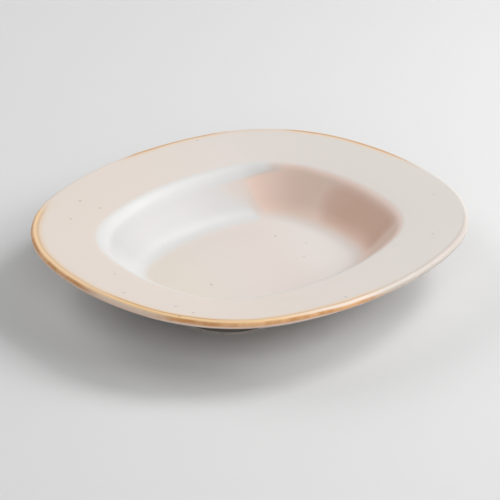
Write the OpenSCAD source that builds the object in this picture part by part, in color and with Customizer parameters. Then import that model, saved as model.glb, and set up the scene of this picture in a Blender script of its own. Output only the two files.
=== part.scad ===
// Rimmed soup plate in glazed stoneware, a rounded rectangle in plan.
// The origin is on the table under the middle of the plate. X is the long way, Z is up.

/* [Overall size] */
// Length over the lip, the long way (mm)
plate_length = 250; // [226:1:262]
// Width over the lip, the short way (mm)
plate_width = 220; // [208:1:244]
// Radius of the four round corners, along the lip (mm)
corner_radius = 86.5; // [76:0.5:98]
// Height from the table to the top of the lip (mm)
plate_height = 38.6; // [34:0.2:44]

/* [Rim] */
// From the outer edge of the lip in to the corner where the well drops (mm)
rim_width = 39; // [30:1:42]
// Fall of the rim from the lip towards the well (degrees)
rim_slope = 9; // [4:1:14]
// Thickness of the rim, which is also the size of its round lip (mm)
rim_thickness = 4.8; // [4:0.2:6.4]
// Radius of the roll from the rim into the well (mm)
brim_radius = 10; // [7:1:14]

/* [Well] */
// Steepness of the wall of the well (degrees)
wall_slope = 51; // [46:1:58]
// Height of the floor of the well above the table (mm)
floor_height = 8.4; // [7.6:0.2:10]
// Radius of the hollow from the wall into the floor (mm)
floor_radius = 22; // [12:1:24]
// Thickness of the wall of the well (mm)
wall_thickness = 5; // [4:0.2:6]
// Radius of the hollow under the brim (mm)
under_brim_radius = 7; // [4:1:12]

/* [Foot] */
// Height of the foot ring, from the table to the clay underside (mm)
foot_height = 3.2; // [2.6:0.2:4]
// Width of the foot ring (mm)
foot_width = 6; // [5:0.5:8]
// How far the foot ring stands out past the wall above it (mm)
foot_ledge = 0.6; // [0.4:0.1:0.8]
// Radius of the rounded edges that rest on the table (mm)
foot_round = 1; // [0.6:0.1:1.2]
// Height up to which the foot ring is left bare of glaze (mm)
bare_height = 1.4; // [1.2:0.1:1.8]

/* [Glaze] */
// Thickness of the glaze coats (mm)
glaze = 0.4; // [0.3:0.1:0.6]
// Reach of the iron band over the lip, up from its outermost line (degrees)
band_up = 85; // [60:5:90]
// Reach of the iron band under the lip, down from its outermost line (degrees)
band_down = 16; // [10:2:60]

/* [Hidden] */

// Facets of a full turn, and the steps of the arcs in the profile (degrees)
turn_facets = 240;
small_arc_step = 15;
wide_arc_step = 6;
// Profile points are rounded to this, so that coats that touch share them (mm)
grain = 0.001;

// Plan outline
// Eight arcs, each tangent to the next. The line from the centre of a side's arc to the centre
// of a corner's arc is the long side of a right triangle whose sides are these shares of one
// unit, so that the arcs meet exactly. The two units follow from the length, the width and the
// corners' radius, and the short sides' is rounded so that every centre has an exact place.
long_side_shares = [12, 35, 37];
short_side_shares = [24, 7, 25];
long_bulge_share = long_side_shares[2] - long_side_shares[1];
short_bulge_share = short_side_shares[2] - short_side_shares[0];
half_length = plate_length / 2;
half_width = plate_width / 2;
unit_step = 0.01;

// Corners rounder than this would leave the short sides no arc of their own
corner_limit_share = 0.93;
roundest_corner = (long_side_shares[0] * half_width - long_bulge_share * half_length)
    / (long_side_shares[0] - long_bulge_share);
corner_start = min(corner_radius, corner_limit_share * roundest_corner);

short_unit_exact = (long_side_shares[0] * (half_width - corner_start)
    - long_bulge_share * (half_length - corner_start))
    / (long_side_shares[0] * short_side_shares[1] - long_bulge_share * short_bulge_share);
short_unit = round(short_unit_exact / unit_step) * unit_step;
long_unit = (half_length - half_width + short_unit * (short_side_shares[1] - short_bulge_share))
    / (long_side_shares[0] - long_bulge_share);
corner_centre = [long_side_shares[0] * long_unit, short_side_shares[1] * short_unit];
long_side_centre = corner_centre - long_unit * [long_side_shares[0], long_side_shares[1]];
short_side_centre = corner_centre - short_unit * [short_side_shares[0], short_side_shares[1]];
short_side_radius = half_length - short_side_centre.x;
corner_arc_radius = short_side_radius - short_unit * short_side_shares[2];
long_side_radius = corner_arc_radius + long_unit * long_side_shares[2];

// The plan is shared out among the arcs along the lines through both centres, from the middle
// of the plate to the corner's centre and on out past the lip. An arc is kept as its centre,
// its radius and its share of the plan.
function past_lip(from, through) =
    from + ceil(plate_length / norm(through - from)) * (through - from);
function across_x(p) = [p.x, -p.y];
function across_y(p) = [-p.x, p.y];
plate_middle = [0, 0];
long_side_end = past_lip(long_side_centre, corner_centre);
short_side_end = past_lip(short_side_centre, corner_centre);
long_side = [long_side_centre, long_side_radius, [plate_middle, corner_centre, long_side_end,
    across_y(long_side_end), across_y(corner_centre)]];
short_side = [short_side_centre, short_side_radius, [plate_middle, across_x(corner_centre),
    across_x(short_side_end), short_side_end, corner_centre]];
corner = [corner_centre, corner_arc_radius, [corner_centre, short_side_end, long_side_end]];

// Profile
// Points are [inset from the outermost line of the lip, height above the table].
// facing(a) points out of a surface that falls inwards at a degrees, and falling(a) along it.
function facing(a) = [sin(a), cos(a)];
function falling(a) = [cos(a), -sin(a)];
function snapped(p) = [round(p.x / grain) * grain, round(p.y / grain) * grain];
function arc(centre, radius, from, to, step) =
    let (n = max(1, ceil(abs(to - from) / step)))
    [for (i = [0:n]) snapped(centre + radius * facing(from + (to - from) * i / n))];
function reversed(points) = [for (i = [len(points) - 1:-1:0]) points[i]];
function without_repeats(points) =
    [for (i = [0:len(points) - 1]) if (i == 0 || points[i] != points[i - 1]) points[i]];
// Where the centre of a unit round lies, from the corner of the two faces that it touches
function touching(a, b) = (facing(a) + facing(b)) / (1 + cos(a - b));

// Upper side
lip_radius = rim_thickness / 2;
lip_centre = [lip_radius, plate_height - lip_radius];
rim_start = lip_centre + lip_radius * facing(rim_slope);
rim_corner = [rim_width, rim_start.y - (rim_width - rim_start.x) * tan(rim_slope)];
brim_centre = rim_corner - brim_radius * touching(rim_slope, wall_slope);
floor_corner = [rim_width + (rim_corner.y - floor_height) / tan(wall_slope), floor_height];
floor_centre = floor_corner + floor_radius * touching(wall_slope, 0);

// Underside, along the rim and the wall to the corner where their lower faces meet
rim_under = rim_corner - rim_thickness * facing(rim_slope);
wall_under = rim_corner - wall_thickness * facing(wall_slope);
under_run = (wall_under - rim_under) * facing(wall_slope) / (falling(rim_slope) * facing(wall_slope));
under_corner = rim_under + under_run * falling(rim_slope);
under_centre = under_corner - under_brim_radius * touching(rim_slope, wall_slope);

// Foot ring, with a rounded ledge where the wall comes down to it
wall_clay = wall_under + glaze * facing(wall_slope);
wall_foot = snapped([wall_clay.x + (wall_clay.y - foot_height) / tan(wall_slope), foot_height]);
foot_outer = wall_foot.x - foot_ledge;
foot_inner = foot_outer + foot_width;
ledge_centre = [wall_foot.x, foot_height - foot_ledge];
ledge_glaze_radius = foot_ledge + glaze;
ledge_above = foot_ledge * cos(wall_slope) - glaze;
ledge_along = sqrt(pow(ledge_glaze_radius, 2) - pow(ledge_above, 2));
ledge_meets = ledge_above * facing(wall_slope) - ledge_along * falling(wall_slope);
ledge_angle = atan2(ledge_meets.x, ledge_meets.y);

// Glaze pools in the inner corner of the foot ring
pool_radius = (foot_height - glaze - bare_height) / 2;
pool_centre = [foot_inner + glaze + pool_radius, foot_height - glaze - pool_radius];

// The flat middle of the plate starts where the hollow of the wall ends
middle_inset = snapped(floor_centre).x;

// Ways that the lip faces at its outermost line, at its lowest line and at the band's edges
outermost = -90;
lowest = rim_slope - 180;
band_top = outermost + band_up;
band_bottom = outermost - band_down;

// Faces at a depth under the finished glaze
function upper_face(depth) = concat(
    arc(lip_centre, lip_radius - depth, band_top, 0, small_arc_step),
    arc(lip_centre, lip_radius - depth, 0, rim_slope, small_arc_step),
    arc(brim_centre, brim_radius - depth, rim_slope, wall_slope, wide_arc_step),
    arc(floor_centre, -floor_radius - depth, wall_slope, 0, wide_arc_step));
function lip_face(depth) = concat(
    arc(lip_centre, lip_radius - depth, band_bottom, outermost, small_arc_step),
    arc(lip_centre, lip_radius - depth, outermost, band_top, small_arc_step));
function lower_face(depth) = concat(
    arc(lip_centre, lip_radius - depth, band_bottom, lowest, small_arc_step),
    arc(under_centre, under_brim_radius + depth, rim_slope, wall_slope, wide_arc_step));
function ledge_face(radius, from) = arc(ledge_centre, radius, from, outermost, small_arc_step);

body_profile = concat(
    reversed(upper_face(glaze)),
    reversed(lip_face(glaze)),
    lower_face(glaze),
    [wall_foot, [middle_inset, foot_height]]);
foot_profile = concat(
    ledge_face(foot_ledge, 0),
    arc([foot_outer + foot_round, foot_round], foot_round, outermost, -180, small_arc_step),
    arc([foot_inner - foot_round, foot_round], foot_round, 180, 90, small_arc_step),
    [[foot_inner, foot_height]]);
top_glaze_profile = concat(upper_face(0), reversed(upper_face(glaze)));
edge_band_profile = concat(lip_face(0), reversed(lip_face(glaze)));
underside_glaze_profile = concat(
    lower_face(0),
    ledge_face(ledge_glaze_radius, ledge_angle),
    [[foot_outer - glaze, bare_height], [foot_outer, bare_height]],
    reversed(ledge_face(foot_ledge, 0)),
    reversed(lower_face(glaze)));
recess_glaze_profile = concat(
    [[foot_inner + glaze, bare_height], [foot_inner, bare_height]],
    [[foot_inner, foot_height], [middle_inset, foot_height]],
    [[middle_inset, foot_height - glaze]],
    reversed(arc(pool_centre, pool_radius, outermost, 0, small_arc_step)));

// Lays the stretch for a long side, a short side and a corner all round the outline
module all_round() {
    for (side = [0, 1]) {
        mirror([0, side, 0]) children(0);
        mirror([side, 0, 0]) children(1);
        for (end = [0, 1])
            mirror([end, 0, 0]) mirror([0, side, 0]) children(2);
    }
}

// A profile turned about the centre of one arc and cut to the arc's share of the plan
module turned_stretch(profile, stretch) {
    intersection() {
        translate(stretch[0])
            rotate_extrude($fn = turn_facets)
                polygon([for (p = without_repeats(profile)) [stretch[1] - p.x, p.y]]);
        linear_extrude(height = plate_height) polygon(stretch[2]);
    }
}

// A profile carried round the whole outline
module swept(profile) {
    all_round() {
        turned_stretch(profile, long_side);
        turned_stretch(profile, short_side);
        turned_stretch(profile, corner);
    }
}

// One arc's share of the flat middle of the plate
module middle_stretch(stretch) {
    intersection() {
        translate(stretch[0]) circle(r = stretch[1] - middle_inset, $fn = turn_facets);
        polygon(stretch[2]);
    }
}

// A flat sheet that fills the middle of the plate
module middle(bottom, top) {
    translate([0, 0, bottom])
        linear_extrude(height = top - bottom)
            all_round() {
                middle_stretch(long_side);
                middle_stretch(short_side);
                middle_stretch(corner);
            }
}

// The fired clay of the plate: lip, rim, wall and floor
module plate_body() {
    color("rosybrown") {
        swept(body_profile);
        middle(foot_height, floor_height - glaze);
    }
}

// The strip of the same clay that is joined on under the floor, bare where it rests
module foot_ring() {
    color("tan") swept(foot_profile);
}

// The coat over the rim and the well
module top_glaze() {
    color("linen") {
        swept(top_glaze_profile);
        middle(floor_height - glaze, floor_height);
    }
}

// The coat from under the lip down over the ledge of the foot ring
module underside_glaze() {
    color("antiquewhite") swept(underside_glaze_profile);
}

// The coat inside the foot ring
module recess_glaze() {
    color("antiquewhite") {
        swept(recess_glaze_profile);
        middle(foot_height - glaze, foot_height);
    }
}

// The iron-coloured band where the glaze breaks thin over the lip
module edge_band() {
    color("peru") swept(edge_band_profile);
}

plate_body();
foot_ring();
top_glaze();
underside_glaze();
recess_glaze();
edge_band();
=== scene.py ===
"""The looks of a rimmed soup plate in satin cream stoneware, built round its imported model.

The frame's sizes are in metres. The plate's own sizes are written here in millimetres and
degrees, as a potter would give them, and every mesh is turned into metres when it is made.
"""

import math

import bpy
from mathutils import Matrix, Vector, noise


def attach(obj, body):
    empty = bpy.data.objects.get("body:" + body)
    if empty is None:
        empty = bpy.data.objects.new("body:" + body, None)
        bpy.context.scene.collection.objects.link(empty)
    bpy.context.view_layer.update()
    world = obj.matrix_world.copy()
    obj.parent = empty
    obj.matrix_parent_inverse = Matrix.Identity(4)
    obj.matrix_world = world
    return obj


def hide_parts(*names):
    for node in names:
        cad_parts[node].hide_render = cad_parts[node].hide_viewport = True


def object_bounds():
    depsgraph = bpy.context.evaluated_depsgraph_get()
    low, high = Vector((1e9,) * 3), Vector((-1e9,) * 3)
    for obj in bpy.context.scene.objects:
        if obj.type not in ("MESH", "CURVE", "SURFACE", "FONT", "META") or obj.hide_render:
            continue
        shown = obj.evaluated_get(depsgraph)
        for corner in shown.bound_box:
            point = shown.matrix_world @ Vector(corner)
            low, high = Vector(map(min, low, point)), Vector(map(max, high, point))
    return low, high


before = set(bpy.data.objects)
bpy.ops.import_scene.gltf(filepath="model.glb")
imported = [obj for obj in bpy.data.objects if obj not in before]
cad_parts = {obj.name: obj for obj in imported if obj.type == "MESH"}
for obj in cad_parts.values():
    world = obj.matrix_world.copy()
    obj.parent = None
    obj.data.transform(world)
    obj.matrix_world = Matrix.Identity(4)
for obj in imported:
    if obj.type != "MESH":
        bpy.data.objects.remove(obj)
cad_low, cad_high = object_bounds()

MM = 0.001
QUARTER_TURN = 90
HALF_TURN = 180

# Overall size, from the frame (mm)
half_length = round((cad_high.x - cad_low.x) / MM, 1) / 2
half_width = round((cad_high.y - cad_low.y) / MM, 1) / 2
plate_height = round(cad_high.z / MM, 1)

# Sizes of the profile and the outline (mm and degrees)
CORNER_RADIUS = 86.5
RIM_WIDTH = 39
RIM_SLOPE = 9
RIM_THICKNESS = 4.8
BRIM_RADIUS = 10
WALL_SLOPE = 51
FLOOR_HEIGHT = 8.4
FLOOR_RADIUS = 22
WALL_THICKNESS = 5
UNDER_BRIM_RADIUS = 7
FOOT_HEIGHT = 3.2
FOOT_WIDTH = 6
FOOT_LEDGE = 0.6
FOOT_ROUND = 1
BARE_HEIGHT = 1.4
GLAZE = 0.4
BAND_UP = 85
BAND_DOWN = 16

# The triangles that carry the arcs of the outline, the long side's and the short side's:
# along the plate, across it, and the slanting side
LONG_SIDE_SHARES = (12, 35, 37)
SHORT_SIDE_SHARES = (24, 7, 25)

# How finely the meshes follow the shape
COLUMNS = 768
LEAST_COLUMNS = 12
LIP_STEPS = 22
ROLL_STEPS = 12
HOLLOW_STEPS = 20
RIM_STEPS = 10
WALL_STEPS = 6
SMALL_STEPS = 8
SHARP_ANGLE = 35

# How far the fired plate strays from its drawing (mm and degrees)
SAG = 0.3
DRAW_IN = 0.15
WARP_SIZE = 90
WARP_REACH = 52
BAND_WANDER = 7
BAND_WANDER_SIZE = 9
GLAZE_LINE_WANDER = 0.25
GLAZE_LINE_SIZE = 12

# Where in the noise each of these is read, so that no two stray alike
BAND_TOP_SEED = 1
BAND_BOTTOM_SEED = 2
OUTER_LINE_SEED = 3
INNER_LINE_SEED = 4
DRAW_IN_SEED = 5


def facing(angle):
    """The way that a surface faces which falls inwards at an angle, as (inwards, up)."""
    return Vector((math.sin(math.radians(angle)), math.cos(math.radians(angle))))


def falling(angle):
    """The way along that surface, inwards."""
    return Vector((math.cos(math.radians(angle)), -math.sin(math.radians(angle))))


def touching(first, second):
    """The centre of a unit round, from the corner of the two faces that it touches."""
    spread = math.cos(math.radians(first - second))
    return (facing(first) + facing(second)) / (1 + spread)


def arc(centre, radius, start, end, steps):
    """Points on an arc of the profile, from where it faces start to where it faces end."""
    return [centre + radius * facing(start + (end - start) * i / steps) for i in range(steps + 1)]


def joined(first, second, steps):
    """Two runs of points with a straight stretch between them, cut into steps."""
    between = [first[-1].lerp(second[0], i / steps) for i in range(1, steps)]
    return first + between + second


# The plan: where the arcs have their centres (mm)
long_x, long_y, long_slant = LONG_SIDE_SHARES
short_x, short_y, short_slant = SHORT_SIDE_SHARES
long_bulge = long_slant - long_y
short_bulge = short_slant - short_x
reach_x = half_length - CORNER_RADIUS
reach_y = half_width - CORNER_RADIUS
short_unit = (long_x * reach_y - long_bulge * reach_x) / (
    long_x * short_y - long_bulge * short_bulge
)
long_unit = (reach_x - short_unit * short_bulge) / long_x
corner_centre = Vector((long_x * long_unit, short_y * short_unit))
long_centre = corner_centre - long_unit * Vector((long_x, long_y))
short_centre = corner_centre - short_unit * Vector((short_x, short_y))
long_radius = CORNER_RADIUS + long_unit * long_slant
short_radius = CORNER_RADIUS + short_unit * short_slant
short_end = math.atan2(short_y, short_x)
long_start = math.atan2(long_y, long_x)

# The profile, as points (inset from the outermost line of the lip, height above the table)
rim_fall = math.tan(math.radians(RIM_SLOPE))
wall_fall = math.tan(math.radians(WALL_SLOPE))
lip_radius = RIM_THICKNESS / 2
lip_centre = Vector((lip_radius, plate_height - lip_radius))
rim_start = lip_centre + lip_radius * facing(RIM_SLOPE)
rim_drop = (RIM_WIDTH - rim_start.x) * rim_fall
rim_corner = Vector((RIM_WIDTH, rim_start.y - rim_drop))
brim_centre = rim_corner - BRIM_RADIUS * touching(RIM_SLOPE, WALL_SLOPE)
wall_run = (rim_corner.y - FLOOR_HEIGHT) / wall_fall
floor_corner = Vector((RIM_WIDTH + wall_run, FLOOR_HEIGHT))
floor_centre = floor_corner + FLOOR_RADIUS * touching(WALL_SLOPE, 0)
rim_under = rim_corner - RIM_THICKNESS * facing(RIM_SLOPE)
wall_under = rim_corner - WALL_THICKNESS * facing(WALL_SLOPE)
under_run = (wall_under - rim_under).dot(facing(WALL_SLOPE)) / (
    falling(RIM_SLOPE).dot(facing(WALL_SLOPE))
)
under_corner = rim_under + under_run * falling(RIM_SLOPE)
under_centre = under_corner - UNDER_BRIM_RADIUS * touching(RIM_SLOPE, WALL_SLOPE)
wall_clay = wall_under + GLAZE * facing(WALL_SLOPE)
foot_run = (wall_clay.y - FOOT_HEIGHT) / wall_fall
wall_foot = Vector((wall_clay.x + foot_run, FOOT_HEIGHT))
foot_outer = wall_foot.x - FOOT_LEDGE
foot_inner = foot_outer + FOOT_WIDTH
ledge_centre = Vector((wall_foot.x, FOOT_HEIGHT - FOOT_LEDGE))
ledge_above = FOOT_LEDGE * math.cos(math.radians(WALL_SLOPE)) - GLAZE
ledge_along = math.sqrt((FOOT_LEDGE + GLAZE) ** 2 - ledge_above**2)
ledge_meets = ledge_above * facing(WALL_SLOPE) - ledge_along * falling(WALL_SLOPE)
ledge_angle = math.degrees(math.atan2(ledge_meets.x, ledge_meets.y))
pool_radius = (FOOT_HEIGHT - GLAZE - BARE_HEIGHT) / 2
pool_centre = Vector((foot_inner + GLAZE + pool_radius, FOOT_HEIGHT - GLAZE - pool_radius))
middle_inset = floor_centre.x

# Ways that the lip faces: straight out, and where it meets the underside of the rim (degrees)
OUTERMOST = -QUARTER_TURN
LOWEST = RIM_SLOPE - HALF_TURN


class Column:
    """One place along the outline: the arc that it lies on and the way that it faces."""

    def __init__(self, centre, radius, angle):
        self.centre = centre
        self.radius = radius
        self.outward = Vector((math.cos(angle), math.sin(angle)))
        self.lip = self.at(0)

    def at(self, inset):
        """The place on the plan at an inset from the lip (mm)."""
        return self.centre + (self.radius - inset) * self.outward

    def chance(self, size, seed):
        """A number from -1 to 1 that wanders slowly along the outline."""
        return noise.noise(Vector((self.lip.x / size, self.lip.y / size, seed)))

    def band_top(self):
        """The way that the lip faces where the iron band ends above."""
        return OUTERMOST + BAND_UP + BAND_WANDER * self.chance(BAND_WANDER_SIZE, BAND_TOP_SEED)

    def band_bottom(self):
        """The way that the lip faces where the iron band ends below."""
        wander = BAND_WANDER * self.chance(BAND_WANDER_SIZE, BAND_BOTTOM_SEED)
        return OUTERMOST - BAND_DOWN + wander

    def glaze_line(self, seed):
        """The height at which a coat stops on the foot ring (mm)."""
        return BARE_HEIGHT + GLAZE_LINE_WANDER * self.chance(GLAZE_LINE_SIZE, seed)


def arcs_of_outline():
    """(centre, radius, first angle, last angle) of each arc, once round from the +X side."""
    quarter = [
        (short_centre, short_radius, 0, short_end),
        (corner_centre, CORNER_RADIUS, short_end, long_start),
        (long_centre, long_radius, long_start, math.pi / 2),
    ]
    across_y = [
        (Vector((-centre.x, centre.y)), radius, math.pi - last, math.pi - first)
        for centre, radius, first, last in reversed(quarter)
    ]
    half = quarter + across_y
    other_half = [
        (-centre, radius, math.pi + first, math.pi + last) for centre, radius, first, last in half
    ]
    return half + other_half


def columns_of_outline(count):
    """Columns at equal steps along the lip."""
    arcs = arcs_of_outline()
    around = sum(radius * (last - first) for _, radius, first, last in arcs)
    made = []
    passed = 0
    for centre, radius, first, last in arcs:
        length = radius * (last - first)
        while len(made) < count and len(made) * around / count < passed + length:
            along = len(made) * around / count - passed
            made.append(Column(centre, radius, first + along / radius))
        passed += length
    return made


def upper_face(depth, column):
    """From the band's edge over the rim and down to the floor, at a depth under the glaze."""
    lip = arc(lip_centre, lip_radius - depth, column.band_top(), RIM_SLOPE, SMALL_STEPS)
    brim = arc(brim_centre, BRIM_RADIUS - depth, RIM_SLOPE, WALL_SLOPE, ROLL_STEPS)
    hollow = arc(floor_centre, -FLOOR_RADIUS - depth, WALL_SLOPE, 0, HOLLOW_STEPS)
    return joined(joined(lip, brim, RIM_STEPS), hollow, WALL_STEPS)


def lip_face(depth, column):
    """Round the lip, from the band's lower edge to its upper edge."""
    return arc(lip_centre, lip_radius - depth, column.band_bottom(), column.band_top(), LIP_STEPS)


def lower_face(depth, column):
    """From the band's lower edge along the underside to the foot of the wall."""
    lip = arc(lip_centre, lip_radius - depth, column.band_bottom(), LOWEST, SMALL_STEPS)
    roll = arc(under_centre, UNDER_BRIM_RADIUS + depth, RIM_SLOPE, WALL_SLOPE, ROLL_STEPS)
    return joined(lip, roll, RIM_STEPS)


def ledge_face(radius, start):
    """The round on the outer top edge of the foot ring."""
    return arc(ledge_centre, radius, start, OUTERMOST, SMALL_STEPS)


def glaze_end(inset, column, seed):
    """The rounded edge where a coat stops on the foot ring."""
    centre = Vector((inset, column.glaze_line(seed)))
    return arc(centre, GLAZE / 2, OUTERMOST, OUTERMOST - HALF_TURN, SMALL_STEPS)


def body_profile(column):
    """From the flat of the floor over the clay's top, round the lip and back underneath."""
    top = upper_face(GLAZE, column)[::-1] + lip_face(GLAZE, column)[::-1][1:]
    under = joined(lower_face(GLAZE, column)[1:], [wall_foot], WALL_STEPS)
    return top + under + [Vector((middle_inset, FOOT_HEIGHT))]


def foot_profile(column):
    """The foot ring, which is the same all the way round."""
    low_outer = Vector((foot_outer + FOOT_ROUND, FOOT_ROUND))
    low_inner = Vector((foot_inner - FOOT_ROUND, FOOT_ROUND))
    return (
        ledge_face(FOOT_LEDGE, 0)
        + arc(low_outer, FOOT_ROUND, OUTERMOST, -HALF_TURN, SMALL_STEPS)
        + arc(low_inner, FOOT_ROUND, HALF_TURN, -OUTERMOST, SMALL_STEPS)
        + [Vector((foot_inner, FOOT_HEIGHT))]
    )


def top_glaze_profile(column):
    """From the flat of the floor out to the band, and back under the coat."""
    return upper_face(0, column)[::-1] + upper_face(GLAZE, column)


def edge_band_profile(column):
    """Round the lip, from below to above, and back under the coat."""
    return lip_face(0, column) + lip_face(GLAZE, column)[::-1]


def underside_glaze_profile(column):
    """From the band down to the rounded end on the foot ring, and back under the coat."""
    outside = joined(lower_face(0, column), ledge_face(FOOT_LEDGE + GLAZE, ledge_angle), WALL_STEPS)
    end = glaze_end(foot_outer - GLAZE / 2, column, OUTER_LINE_SEED)
    inside = ledge_face(FOOT_LEDGE, 0)[::-1]
    return outside + end + joined(inside, lower_face(GLAZE, column)[::-1], WALL_STEPS)


def recess_glaze_profile(column):
    """From the flat underneath over the pool in the corner to the rounded end, and back against
    the clay."""
    pool = arc(pool_centre, pool_radius, OUTERMOST, 0, SMALL_STEPS)
    end = glaze_end(foot_inner + GLAZE / 2, column, INNER_LINE_SEED)
    rise = [Vector((foot_inner, FOOT_HEIGHT)), Vector((middle_inset, FOOT_HEIGHT))]
    return [Vector((middle_inset, FOOT_HEIGHT - GLAZE))] + pool[::-1] + end + rise


def settled(x, y, z, inset):
    """A point of the drawing, in mm, where the fired clay has it: the rim sags and draws in."""
    free = max(0, 1 - inset / WARP_REACH) ** 2
    place = Vector((x, y, 0)) / WARP_SIZE
    sag = SAG * (1 + noise.noise(place)) / 2
    draw_in = DRAW_IN * (1 + noise.noise(place + Vector((0, 0, DRAW_IN_SEED)))) / 2
    shrink = 1 - free * draw_in / half_width
    return Vector((x * shrink, y * shrink, z - free * sag))


def middle_height(inset):
    """How high the middle of the clay's thickness lies at an inset (mm)."""
    rim = lip_centre.y - (inset - lip_centre.x) * rim_fall
    wall_middle = rim_corner - WALL_THICKNESS / 2 * facing(WALL_SLOPE)
    wall = wall_middle.y - (inset - wall_middle.x) * wall_fall
    return max(min(rim, wall), (FLOOR_HEIGHT + FOOT_HEIGHT) / 2)


def from_lip(inset, height):
    """Distance over the surface from the outermost line of the lip, less than 0 underneath (mm)."""
    away = Vector((inset, height)) - lip_centre
    past = away.dot(falling(RIM_SLOPE))
    side = 1 if height > middle_height(inset) else -1
    if past > 0:
        quarter = math.radians(QUARTER_TURN + side * RIM_SLOPE)
        return side * (lip_radius * quarter + past)
    return lip_radius * math.atan2(away.y, -away.x)


class Shape:
    """Points and faces of one piece, with what its material needs to know at each point."""

    def __init__(self):
        self.points = []
        self.faces = []
        self.from_lip = []
        self.inset = []
        self.lip = []

    def add(self, place, inset, height, lip):
        """Adds a point, which was drawn at an inset and a height, and returns its number."""
        self.points.append(place)
        self.from_lip.append(from_lip(inset, height))
        self.inset.append(inset)
        self.lip.append((lip.x * MM, lip.y * MM, 0))
        return len(self.points) - 1

    def sweep(self, profile_of, closed):
        """Carries a profile round the outline. Returns the ring of its first and last points."""
        rows = []
        for column in columns_of_outline(COLUMNS):
            row = []
            for spot in profile_of(column):
                plan = column.at(spot.x)
                place = settled(plan.x, plan.y, spot.y, spot.x)
                row.append(self.add(place, spot.x, spot.y, column.lip))
            rows.append(row)
        for this, following in zip(rows, rows[1:] + rows[:1]):
            steps = range(len(this)) if closed else range(len(this) - 1)
            for i in steps:
                j = (i + 1) % len(this)
                self.faces.append((this[i], this[j], following[j], following[i]))
        return [row[0] for row in rows], [row[-1] for row in rows]

    def fill(self, ring):
        """Closes the flat middle with rings of half as many points each, down to one point."""
        whole = self.points[ring[0]].xy.length
        height = self.points[ring[0]].z
        turns = round(math.log2(len(ring) / LEAST_COLUMNS))
        for turn in range(turns):
            scale = math.cos(math.pi / 2 * (turn + 1) / (turns + 1))
            inner = []
            for i in ring[::2]:
                start = self.points[i]
                factor = scale * whole / self.points[ring[0]].xy.length
                place = Vector((start.x * factor, start.y * factor, height))
                lip = Vector(self.lip[i][:2]) / MM
                inner.append(self.add(place, middle_inset, height, lip))
            self.step_down(ring, inner)
            ring = inner
        middle = self.add(Vector((0, 0, height)), middle_inset, height, Vector((0, 0)))
        for this, following in zip(ring, ring[1:] + ring[:1]):
            self.faces.append((this, following, middle))

    def step_down(self, outer, inner):
        """Joins a ring to the next one, which has half as many points."""
        for k, this in enumerate(inner):
            following = inner[(k + 1) % len(inner)]
            start, half, end = (outer[(2 * k + step) % len(outer)] for step in range(3))
            self.faces += [(start, half, this), (half, following, this), (half, end, following)]

    def piece(self, name, node, material):
        """Makes the object, which stands for its node and takes the material that it is given."""
        mesh = bpy.data.meshes.new(name)
        mesh.from_pydata([point * MM for point in self.points], [], self.faces)
        mesh.attributes.new("from_lip", "FLOAT", "POINT").data.foreach_set("value", self.from_lip)
        mesh.attributes.new("inset", "FLOAT", "POINT").data.foreach_set("value", self.inset)
        lips = [number for lip in self.lip for number in lip]
        mesh.attributes.new("lip", "FLOAT_VECTOR", "POINT").data.foreach_set("vector", lips)
        mesh.shade_smooth()
        mesh.set_sharp_from_angle(angle=math.radians(SHARP_ANGLE))
        mesh.materials.append(material)
        made = bpy.data.objects.new(name, mesh)
        bpy.context.scene.collection.objects.link(made)
        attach(made, "root")
        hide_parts(node)


def ring_piece(name, node, material, profile_of):
    """A piece whose closed profile goes once round the plate."""
    shape = Shape()
    shape.sweep(profile_of, closed=True)
    shape.piece(name, node, material)


def whole_piece(name, node, material, profile_of):
    """A piece that also runs across the middle, above and below."""
    shape = Shape()
    for ring in shape.sweep(profile_of, closed=False):
        shape.fill(ring)
    shape.piece(name, node, material)


def colour(red, green, blue):
    """A colour as it shows on screen, 0 to 255, as the shaders want it, by the sRGB curve."""
    linear = []
    for value in (red, green, blue):
        share = value / 255
        linear.append(share / 12.92 if share <= 0.04045 else ((share + 0.055) / 1.055) ** 2.4)
    return (*linear, 1)


# Colours of the glaze in the well, painted light and shade: white and grey where its walls face
# the key lamps, cream on its floor, and peach and brown where its walls face away from them
CHALK = colour(225, 225, 224)
WHITE = colour(218, 218, 217)
PEARL = colour(210, 209, 208)
PAINTED_LIGHT_MILK = colour(230, 224, 219)
CREAM = colour(226, 216, 209)
BUFF = colour(226, 216, 205)
BLUSH = colour(217, 206, 199)
PEACH = colour(232, 208, 195)
PAINTED_SHADE_BROWN = colour(208, 171, 151)
# Colours of the glaze on the rim and underneath, of its last roll on the foot, and of the specks;
# the underside's is greyer and darker than the top's, in part painted shade, and the foot's dark
# one is painted shade
SAND = colour(231, 219, 209)
PALE = colour(223, 216, 210)
THIN = colour(208, 198, 189)
UNDER = colour(190, 184, 179)
FOOT_PAINTED_SHADE = colour(124, 114, 106)
ROLL = colour(222, 218, 214)
SPECK = colour(150, 126, 108)
# Colours of the iron on the lip; the golden one is the iron lightened as a painted highlight, and
# the ivory one is painted highlight and painted light
PINK = colour(238, 206, 184)
OCHRE = colour(238, 186, 134)
RUST = colour(210, 149, 90)
GOLD_HIGHLIGHT = colour(250, 212, 162)
IVORY = colour(242, 224, 207)
UMBER = colour(222, 190, 155)
AMBER = colour(206, 154, 84)
HONEY = colour(230, 210, 190)
# The other surfaces
CLAY = colour(196, 165, 138)
DARK_CLAY = colour(158, 126, 102)
PALE_FOOT_CLAY = colour(236, 228, 219)
FLOOR = colour(232, 232, 232)
BACKDROP = colour(231, 231, 231)
PLAIN_WHITE = (1, 1, 1, 1)

# Parts of a noise's range, 0 to 1: the one that it mostly keeps to, and two narrower ones
MOST_NOISE = (0.3, 0.7)
INNER_NOISE = (0.35, 0.65)
CORE_NOISE = (0.38, 0.62)

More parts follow.
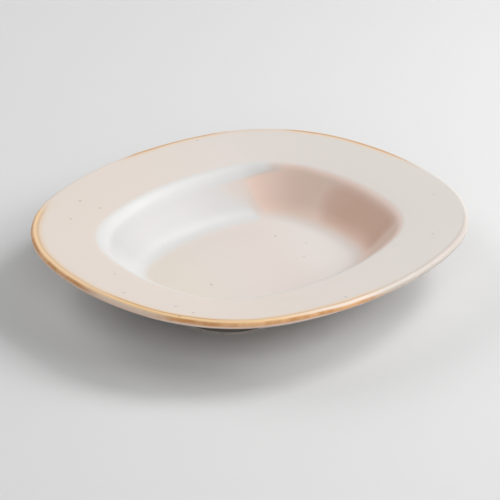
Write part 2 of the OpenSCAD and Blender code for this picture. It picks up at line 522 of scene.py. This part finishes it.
# Where the Mix node has its factor, its two colours and its result
MIX_FACTOR = 0
MIX_FIRST = 6
MIX_SECOND = 7
MIX_RESULT = 2

# A little over 1, so that nothing is divided by 0 where the glaze is level
JUST_OVER_ONE = 1.0001


class Nodes:
    """Builds the nodes of a material or of the world."""

    def __init__(self, owner):
        owner.use_nodes = True
        self.owner = owner
        self.tree = owner.node_tree
        self.tree.nodes.clear()

    def add(self, kind, inputs, **settings):
        """A node with its settings. Each input takes a plain value or another node's output."""
        made = self.tree.nodes.new("ShaderNode" + kind)
        for name, value in settings.items():
            setattr(made, name, value)
        for name, value in inputs.items():
            if isinstance(value, bpy.types.NodeSocket):
                self.tree.links.new(value, made.inputs[name])
            else:
                made.inputs[name].default_value = value
        return made

    def maths(self, operation, first, *others):
        """Works through a row of values, from the first one on, such as a sum or a product."""
        for other in others:
            first = self.add("Math", {0: first, 1: other}, operation=operation).outputs[0]
        return first

    def dot(self, first, second):
        """How far a place or a way goes towards another way."""
        made = self.add("VectorMath", {0: first, 1: second}, operation="DOT_PRODUCT")
        return made.outputs["Value"]

    def upward(self, vector):
        """How far a place or a way goes upwards."""
        return self.add("SeparateXYZ", {0: vector}).outputs["Z"]

    def height(self, place):
        """The height of a place over the table (mm)."""
        return self.maths("MULTIPLY", self.upward(place), 1 / MM)

    def steepness(self, normal):
        """How steep a surface is, 0 where level and 1 where upright."""
        up = self.upward(normal)
        squared = self.maths("SUBTRACT", JUST_OVER_ONE, self.maths("MULTIPLY", up, up))
        return self.add("Math", {0: squared}, operation="SQRT").outputs[0]

    def between(self, value, low, high, start=0, end=1):
        """Turns a value from low to high into start to end, smoothly, and holds it outside."""
        inputs = {"Value": value, 1: low, 2: high, 3: start, 4: end}
        return self.add("MapRange", inputs, interpolation_type="SMOOTHSTEP").outputs[0]

    def stretch(self, place, limits, start=0, end=1):
        """Goes from start to end over a stretch of the plate. Its limits are a way, and how far
        towards it the stretch begins and is full (mm)."""
        way, begins, full = limits
        return self.between(self.dot(place, way), begins * MM, full * MM, start, end)

    def bands(self, value, stops, unit=1):
        """Colours that pass into one another as a value grows, from (value, colour) pairs. The
        unit is what their values are counted in."""
        made = stops[0][1]
        for (low, _), (high, shade) in zip(stops, stops[1:]):
            made = self.mixed(self.between(value, low * unit, high * unit), made, shade)
        return made

    def mixed(self, factor, first, second):
        """The first colour where the factor is 0, and the second where it is 1."""
        inputs = {MIX_FACTOR: factor, MIX_FIRST: first, MIX_SECOND: second}
        return self.add("Mix", inputs, data_type="RGBA").outputs[MIX_RESULT]

    def noise(self, place, size, detail=2):
        """Noise with lumps of a size in mm."""
        inputs = {"Vector": place, "Scale": 1 / (size * MM), "Detail": detail}
        return self.add("TexNoise", inputs).outputs[0]

    def wander(self, place, size, reach):
        """A value that wanders from -reach to reach, over lumps of a size in mm."""
        return self.between(self.noise(place, size), *MOST_NOISE, -reach, reach)

    def attribute(self, name, output):
        """A value that the mesh carries at each of its points."""
        return self.add("Attribute", {}, attribute_name=name).outputs[output]

    def here(self):
        """The place on the object (m)."""
        return self.add("TexCoord", {}).outputs["Object"]

    def bump(self, height, distance, after=None):
        """Relief of a height in mm, on top of another bump if there is one."""
        inputs = {"Height": height, "Distance": distance * MM}
        if after:
            inputs["Normal"] = after
        return self.add("Bump", inputs).outputs[0]

    def surface(self, inputs):
        """Ends a material in one shader, and returns the material."""
        shader = self.add("BsdfPrincipled", inputs)
        self.add("OutputMaterial", {"Surface": shader.outputs[0]})
        return self.owner


# Ways across the plate, away from the key lamps and towards them: walls of the well that face
# away take painted shade, and walls that face the lamps are painted white as painted light and
# sheen
AWAY_FROM_KEY_LAMPS = Vector((-0.96, 0.29, 0))
TOWARDS_KEY_LAMPS = Vector((0.94, -0.33, 0))
# Insets between which the glaze changes on the way in and down (mm)
INTO_WELL = (34, 39)
INTO_PAINTED_SHADE = (38, 44.5)
BELOW_BRIM = (40, 46)
DOWN_WALL = (44, 68)
DOWN_TO_FLOOR = (56, 68)
# How steep the glaze is, 0 where level and 1 where upright, between which it changes
OFF_THE_FLOOR = (0.07, 0.36)
TINTED_SLOPES = (0.25, 0.6)
SHADED_SLOPES = (0.3, 0.7)
PEARL_SLOPES = (0.45, 0.7)
# How squarely the wall faces away from the key lamps, from -1 to 1, between which it takes faint
# and full painted shade, and how strong the faint painted shade and the full one at the floor are
HALF_FACING = (0, 0.6)
FULL_FACING = (0.88, 1)
FAINT_SHADE = 0.15
SHADE_AT_FLOOR = 0.7
# What is added to how squarely the glaze faces the key lamps: at the brim, for a painted highlight
# along it, and from the wall's top to its foot
BRIM_HIGHLIGHT = 0.5
WALL_LIGHT_SHIFT = (-0.22, 0.06)
# How far the limits of the colours wander, and over what size (mm)
LIMIT_WANDER = 0.03
LIMIT_WANDER_SIZE = 60
# The colours at the bottom of the well, by how far they lie towards the key lamps (mm): yellower
# away from them, and lighter towards them as painted light where the brim's shadow falls
BOTTOM_COLOURS = [(-45, BUFF), (-15, CREAM), (15, CREAM), (50, PAINTED_LIGHT_MILK)]


def well_colour(nodes, here, normal, inset):
    """Painted light and shade: white and grey where the well faces the key lamps, peach and brown
    away.
    """
    wander = nodes.wander(here, LIMIT_WANDER_SIZE, LIMIT_WANDER)
    steep = nodes.steepness(normal)

    def turned_to(way):
        """How squarely the slope faces a way, from -1 to 1, with a little wander."""
        return nodes.maths("ADD", nodes.maths("DIVIDE", nodes.dot(normal, way), steep), wander)

    below_brim = nodes.between(inset, *BELOW_BRIM)
    facing_lamps = nodes.maths(
        "ADD",
        turned_to(TOWARDS_KEY_LAMPS),
        nodes.between(below_brim, 0, 1, BRIM_HIGHLIGHT, 0),
        nodes.between(inset, *DOWN_WALL, *WALL_LIGHT_SHIFT),
    )
    pearly = nodes.maths("MULTIPLY", below_brim, nodes.between(steep, *PEARL_SLOPES))
    pearl = nodes.mixed(pearly, WHITE, PEARL)
    tinted = nodes.between(steep, *TINTED_SLOPES)
    blush = nodes.mixed(tinted, CREAM, BLUSH)
    peach = nodes.mixed(tinted, CREAM, PEACH)
    # The wall's painted light and shade, by how squarely it faces the key lamps, from -1 to 1
    wall = nodes.bands(
        facing_lamps, [(-0.34, peach), (-0.17, blush), (-0.02, pearl), (0.5, pearl), (0.85, CHALK)]
    )
    bottom = nodes.bands(nodes.dot(here, TOWARDS_KEY_LAMPS), BOTTOM_COLOURS, MM)
    unshaded = nodes.mixed(nodes.between(steep, *OFF_THE_FLOOR), bottom, wall)

    # Painted shade in brown where the wall faces away from the key lamps, a little weaker at the
    # floor
    facing_away = turned_to(AWAY_FROM_KEY_LAMPS)
    full = nodes.between(facing_away, *FULL_FACING)
    faint = nodes.between(facing_away, *HALF_FACING, 0, FAINT_SHADE)
    shaded = nodes.maths(
        "MULTIPLY",
        nodes.maths("MAXIMUM", full, faint),
        nodes.between(steep, *SHADED_SLOPES),
        nodes.between(inset, *INTO_PAINTED_SHADE),
        nodes.between(inset, *DOWN_TO_FLOOR, 1, SHADE_AT_FLOOR),
    )
    return nodes.mixed(shaded, unshaded, PAINTED_SHADE_BROWN)


# Ways across the plate to the parts of the lip
IRON_SIDE = Vector((-0.95, -0.31, 0))
NEAR_LEFT_SIDE = Vector((-0.98, -0.17, 0))
LEFT_SIDE = Vector((-0.7, 0.71, 0))
LIT_LIP_SIDE = Vector((0.64, -0.77, 0))
FAR_SIDE = Vector((0.72, 0.7, 0))
FAR_LINE = Vector((0.98, 0.17, 0))
# Stretches of the lip, each a way, and how far towards it the stretch begins and is full (mm):
# where the iron is strong, and where the far side's fainter iron is left out towards the lamps on
# the right, as a painted highlight that washes it out
STRONG_IRON = (IRON_SIDE, 30, 60)
IRON_WASHED_OUT = (LIT_LIP_SIDE, 70, 100)
# where the iron's lines lie lower, on the right up to the far side, and on the far side itself
RIGHT_LINES = (LIT_LIP_SIDE, 35, 78)
RIGHT_LINES_END = (FAR_SIDE, 20, 60)
FAR_LINES = (FAR_SIDE, 50, 90)
# where they lie higher, on the left
LEFT_LINES = (LEFT_SIDE, 80, 120)
# where the rust line is painted pale as painted light, and where the golden line, a painted
# highlight, pales further towards the lamps on the right
LIGHTENED_RUST = (NEAR_LEFT_SIDE, 120.5, 124.5)
PALER_GOLD_HIGHLIGHT = (LIT_LIP_SIDE, 20, 55)
# where a thin line runs on the far side: on its left, with its end there, and on its right
LEFT_LINE = (LEFT_SIDE, 5, 30)
LEFT_LINE_END = (LEFT_SIDE, 70, 85)
RIGHT_LINE = (FAR_LINE, 109, 117)
# How much lower or higher the lines lie there, and how far and over what size they wander (mm)
RIGHT_LOWER = 1.1
FAR_LOWER = 0.8
LEFT_HIGHER = 0.6
LINE_WANDER = 0.25
LINE_WANDER_SIZE = 34
# How far the rust is painted pale as painted light, how strong the thin line is on the left, and
# the far side's iron without and with that line, all from 0 to 1
RUST_LIGHTENING = 0.8
LEFT_LINE_STRENGTH = 0.8
FAR_STRENGTHS = (0.35, 0.95)
# The sizes of the patches and of the mottling in the rust (mm), and the mottling's strength
RUST_SIZE = 26
MOTTLE_SIZE = 5
MOTTLE = 0.3


def iron_colour(nodes, lip, along, rim):
    """The lip, where the glaze runs thin and iron shows in rust and umber lines, and a golden
    painted highlight.
    """
    lower = nodes.stretch(lip, RIGHT_LINES_END, RIGHT_LOWER, 0)
    lower = nodes.maths("MULTIPLY", lower, nodes.stretch(lip, RIGHT_LINES))
    place = nodes.maths(
        "ADD",
        along,
        nodes.wander(lip, LINE_WANDER_SIZE, LINE_WANDER),
        lower,
        nodes.stretch(lip, LEFT_LINES, 0, -LEFT_HIGHER),
        nodes.stretch(lip, FAR_LINES, 0, FAR_LOWER),
    )
    patches = nodes.between(nodes.noise(lip, RUST_SIZE), *CORE_NOISE)
    mottling = nodes.noise(lip, MOTTLE_SIZE, detail=3)
    mottling = nodes.between(mottling, *INNER_NOISE, -MOTTLE, MOTTLE)
    rust = nodes.mixed(nodes.maths("ADD", patches, mottling), OCHRE, RUST)
    rust = nodes.mixed(nodes.stretch(lip, LIGHTENED_RUST, 0, RUST_LIGHTENING), rust, IVORY)
    gold_highlight = nodes.mixed(nodes.stretch(lip, PALER_GOLD_HIGHLIGHT), GOLD_HIGHLIGHT, IVORY)
    left_end = nodes.stretch(lip, LEFT_LINE_END, 1, 0)
    line = nodes.stretch(lip, LEFT_LINE, 0, LEFT_LINE_STRENGTH)
    line = nodes.maths("MULTIPLY", line, left_end)
    line = nodes.maths("MAXIMUM", line, nodes.stretch(lip, RIGHT_LINE))
    umber = nodes.mixed(line, UMBER, AMBER)
    # The colours over the lip, by distance from its outermost line, less than 0 underneath (mm)
    iron = nodes.bands(
        place,
        [(-1.6, rim), (-1, PINK), (-0.5, PINK), (0.5, rust), (1.6, rust), (2.5, gold_highlight), (3.4, gold_highlight)]
        + [(4.2, umber), (4.9, umber), (6, HONEY), (8.5, rim)],
    )
    near = nodes.stretch(lip, STRONG_IRON)
    far = nodes.between(line, 0, 1, *FAR_STRENGTHS)
    far = nodes.maths("MULTIPLY", far, left_end, nodes.stretch(lip, IRON_WASHED_OUT, 1, 0))
    return nodes.mixed(nodes.maths("MAXIMUM", near, far), rim, iron)


# Specks: the spacing of the cells that may hold one (mm), the random brightness from which a cell
# does, a speck's full middle and its edge in shares of the spacing, and how strong the middle is
SPECK_SPACING = 11
SPECK_CHOICE = (0.48, 0.49)
SPECK_EDGE_SHARES = (0.03, 0.12)
SPECK_STRENGTH = 0.4
# How far a surface faces up, 1 where level, between which it has no specks and all of them
LEVEL_ENOUGH = (0.85, 0.95)


def speckled(nodes, here, normal, body):
    """Faint iron specks here and there on the rim and the floor."""
    cells = nodes.add("TexVoronoi", {"Vector": here, "Scale": 1 / (SPECK_SPACING * MM)})
    speck = nodes.maths(
        "MULTIPLY",
        nodes.between(cells.outputs["Color"], *SPECK_CHOICE),
        nodes.between(cells.outputs["Distance"], *SPECK_EDGE_SHARES, SPECK_STRENGTH, 0),
        nodes.between(nodes.upward(normal), *LEVEL_ENOUGH),
    )
    return nodes.mixed(speck, body, SPECK)


# The stretch of the plate over which the rim turns greyer towards the key lamps, as painted shade:
# a way, and two distances towards it (mm)
RIM_SHADE_STRETCH = (TOWARDS_KEY_LAMPS, -80, 80)
# How far from the lip's outermost line the glaze is thin (mm), and the stretch where that ends
THIN_EDGE = (3.5, 6)
THIN_EDGE_END = (FAR_SIDE, -20, 30)
# How far from that line the underside's colours begin, less than 0 underneath, and the heights
# over the table where each of them lies (mm)
UNDERSIDE_EDGE = (-5, -2.5)
# Painted shade: a dark band low on the foot ring, above the glaze's pale end roll
UNDERSIDE_COLOURS = [(1.8, ROLL), (2.3, FOOT_PAINTED_SHADE), (6, FOOT_PAINTED_SHADE), (12, UNDER)]
# The glaze's roughness, the size of the patches over which it changes, and the sizes and heights
# of the waves and the skin of its surface (mm)
GLAZE_ROUGHNESS = (0.38, 0.46)
GLAZE_PATCH_SIZE = 12
WAVE_SIZE = 9
WAVE_HEIGHT = 0.03
SKIN_SIZE = 0.9
SKIN_HEIGHT = 0.004


def glaze_material(name):
    """Satin glaze: cream with painted light and shade, iron on the lip and fine specks."""
    nodes = Nodes(bpy.data.materials.new(name))
    here = nodes.here()
    normal = nodes.add("NewGeometry", {}).outputs["Normal"]
    inset = nodes.attribute("inset", "Fac")
    lip = nodes.attribute("lip", "Vector")
    along = nodes.attribute("from_lip", "Fac")

    # The rim, painted a little greyer towards the key lamps as painted shade
    rim = nodes.mixed(nodes.stretch(here, RIM_SHADE_STRETCH), SAND, PALE)
    well = well_colour(nodes, here, normal, inset)
    body = nodes.mixed(nodes.between(inset, *INTO_WELL), rim, well)
    thin = nodes.stretch(lip, THIN_EDGE_END, 1, 0)
    thin = nodes.maths("MULTIPLY", nodes.between(along, *THIN_EDGE, 1, 0), thin)
    body = nodes.mixed(thin, body, THIN)
    body = iron_colour(nodes, lip, along, body)
    underside = nodes.bands(nodes.height(here), UNDERSIDE_COLOURS)
    body = nodes.mixed(nodes.between(along, *UNDERSIDE_EDGE, 1, 0), body, underside)
    body = speckled(nodes, here, normal, body)

    patches = nodes.noise(here, GLAZE_PATCH_SIZE, detail=3)
    rough = nodes.between(patches, *MOST_NOISE, *GLAZE_ROUGHNESS)
    waves = nodes.bump(nodes.noise(here, WAVE_SIZE), WAVE_HEIGHT)
    skin = nodes.bump(nodes.noise(here, SKIN_SIZE), SKIN_HEIGHT, waves)
    return nodes.surface({"Base Color": body, "Roughness": rough, "Normal": skin})


# Bare clay: its roughness, the sizes of its dark patches and grains, with a grain's height, and
# the height over the table up to which it is paler (mm)
CLAY_ROUGHNESS = (0.8, 0.95)
CLAY_PATCH_SIZE = 14
GRAIN_SIZE = 1.6
GRAIN_HEIGHT = 0.12
PALE_FOOT_EDGE = (0.8, 1.1)
# The parts of the noise that turn dark in the patches and in the grains
DARK_PATCHES = (0.35, 0.7)
DARK_GRAINS = (0.58, 0.72)


def clay_material(name):
    """Bare fired stoneware: dry, gritty and warm."""
    nodes = Nodes(bpy.data.materials.new(name))
    here = nodes.here()
    grain = nodes.noise(here, GRAIN_SIZE, detail=4)
    patches = nodes.noise(here, CLAY_PATCH_SIZE, detail=3)
    clay = nodes.mixed(nodes.between(patches, *DARK_PATCHES), CLAY, DARK_CLAY)
    clay = nodes.mixed(nodes.between(nodes.height(here), *PALE_FOOT_EDGE, 1, 0), clay, PALE_FOOT_CLAY)
    clay = nodes.mixed(nodes.between(grain, *DARK_GRAINS), clay, DARK_CLAY)
    rough = nodes.between(grain, *MOST_NOISE, *CLAY_ROUGHNESS)
    skin = nodes.bump(grain, GRAIN_HEIGHT)
    return nodes.surface({"Base Color": clay, "Roughness": rough, "Normal": skin})


def floor_material():
    """The pale floor, which the camera looks through from underneath."""
    nodes = Nodes(bpy.data.materials.new("floor"))
    pale = nodes.add("BsdfDiffuse", {"Color": FLOOR})
    clear = nodes.add("BsdfTransparent", {})
    under = nodes.add("NewGeometry", {}).outputs["Backfacing"]
    seen = nodes.add("LightPath", {}).outputs["Is Camera Ray"]
    through = nodes.maths("MULTIPLY", under, seen)
    mix = nodes.add("MixShader", {0: through, 1: pale.outputs[0], 2: clear.outputs[0]})
    nodes.add("OutputMaterial", {"Surface": mix.outputs[0]})
    return nodes.owner


# The camera, as fitted to the photograph: how it is framed (pixels), and its place round the
# plate (degrees and mm), where AIM is the point on the table that it looks at
PHOTO_SIDE_PX = 500
FOCAL_PX = 3053.9
CAMERA_AZIMUTH = -45.84
CAMERA_ELEVATION = 27.04
CAMERA_ROLL = 1.44
CAMERA_DISTANCE = 1783.6
AIM_RIGHT = -0.39
AIM_AWAY = 36.48
# How far the floor reaches from the plate's middle (mm)
FLOOR_REACH = 6000


def turned(right, away, up):
    """A place or way given as seen from the camera's side of the plate, in the frame."""
    angle = math.radians(CAMERA_AZIMUTH)
    x = right * math.cos(angle) - away * math.sin(angle)
    y = right * math.sin(angle) + away * math.cos(angle)
    return Vector((x, y, up))


def add_camera():
    """The camera, where the photograph was taken from."""
    elevation = math.radians(CAMERA_ELEVATION)
    roll = math.radians(CAMERA_ROLL)
    back = turned(0, -math.cos(elevation), math.sin(elevation))
    level = turned(1, 0, 0)
    upright = back.cross(level)
    right = math.cos(roll) * level + math.sin(roll) * upright
    up = back.cross(right)
    place = (turned(AIM_RIGHT, AIM_AWAY, 0) + CAMERA_DISTANCE * back) * MM
    data = bpy.data.cameras.new("camera")
    data.lens = FOCAL_PX / PHOTO_SIDE_PX * data.sensor_width
    camera = bpy.data.objects.new("camera", data)
    turn = Matrix((right, up, back)).transposed().to_4x4()
    camera.matrix_world = Matrix.Translation(place) @ turn
    bpy.context.scene.collection.objects.link(camera)
    bpy.context.scene.camera = camera


def add_lamp(name, azimuth, elevation, distance, size, level):
    """A square soft lamp aimed at the plate, in degrees and mm. Its azimuth is measured from the
    camera's right towards the back, and a white surface that faces it renders at level."""
    around = math.radians(azimuth)
    over = math.radians(elevation)
    way = turned(
        math.cos(around) * math.cos(over), math.sin(around) * math.cos(over), math.sin(over)
    )
    data = bpy.data.lights.new(name, "AREA")
    data.size = size * MM
    data.energy = level * (math.pi * distance * MM) ** 2
    lamp = bpy.data.objects.new(name, data)
    turn = way.to_track_quat("Z", "Y").to_matrix().to_4x4()
    lamp.matrix_world = Matrix.Translation(way * distance * MM) @ turn
    bpy.context.scene.collection.objects.link(lamp)


def add_world(level):
    """A faint even light, and the pale backdrop that the camera and reflections see instead."""
    nodes = Nodes(bpy.data.worlds.new("world"))
    light = nodes.add("Background", {"Color": PLAIN_WHITE, "Strength": level})
    backdrop = nodes.add("Background", {"Color": BACKDROP})
    path = nodes.add("LightPath", {})
    seen = nodes.maths("MAXIMUM", path.outputs["Is Camera Ray"], path.outputs["Is Glossy Ray"])
    mix = nodes.add("MixShader", {0: seen, 1: light.outputs[0], 2: backdrop.outputs[0]})
    nodes.add("OutputWorld", {"Surface": mix.outputs[0]})
    bpy.context.scene.world = nodes.owner


def add_floor():
    """The floor that the plate stands on, which isn't part of it."""
    side = FLOOR_REACH * MM
    mesh = bpy.data.meshes.new("floor")
    corners = [(-side, -side, 0), (side, -side, 0), (side, side, 0), (-side, side, 0)]
    mesh.from_pydata(corners, [], [(0, 1, 2, 3)])
    mesh.materials.append(floor_material())
    floor = bpy.data.objects.new("floor", mesh)
    bpy.context.scene.collection.objects.link(floor)


add_camera()
clay = clay_material("bare_clay")
cream = glaze_material("cream_glaze")
iron = glaze_material("iron_edge")
whole_piece("clay_body", "plate_body", clay, body_profile)
ring_piece("clay_foot", "foot_ring", clay, foot_profile)
whole_piece("glaze_over_top", "top_glaze", cream, top_glaze_profile)
ring_piece("glaze_under_rim", "underside_glaze", cream, underside_glaze_profile)
whole_piece("glaze_in_foot", "recess_glaze", cream, recess_glaze_profile)
ring_piece("iron_lip", "edge_band", iron, edge_band_profile)
add_floor()
add_lamp("key_high", azimuth=29, elevation=48, distance=1300, size=500, level=0.39)
add_lamp("key_low", azimuth=9, elevation=28, distance=1300, size=500, level=0.25)
add_lamp("low", azimuth=26, elevation=14, distance=1100, size=500, level=0.08)
add_lamp("near", azimuth=-25, elevation=36, distance=1300, size=400, level=0.1)
add_lamp("right", azimuth=-5, elevation=45, distance=1300, size=600, level=0.095)
add_lamp("high", azimuth=60, elevation=60, distance=1300, size=700, level=0.045)
add_lamp("far", azimuth=125, elevation=32, distance=1500, size=900, level=0.12)
add_lamp("left", azimuth=158, elevation=40, distance=1500, size=900, level=0.235)
add_lamp("front", azimuth=270, elevation=33, distance=1500, size=900, level=0.305)
add_world(level=0.04)
bpy.context.scene.view_settings.view_transform = "Standard"
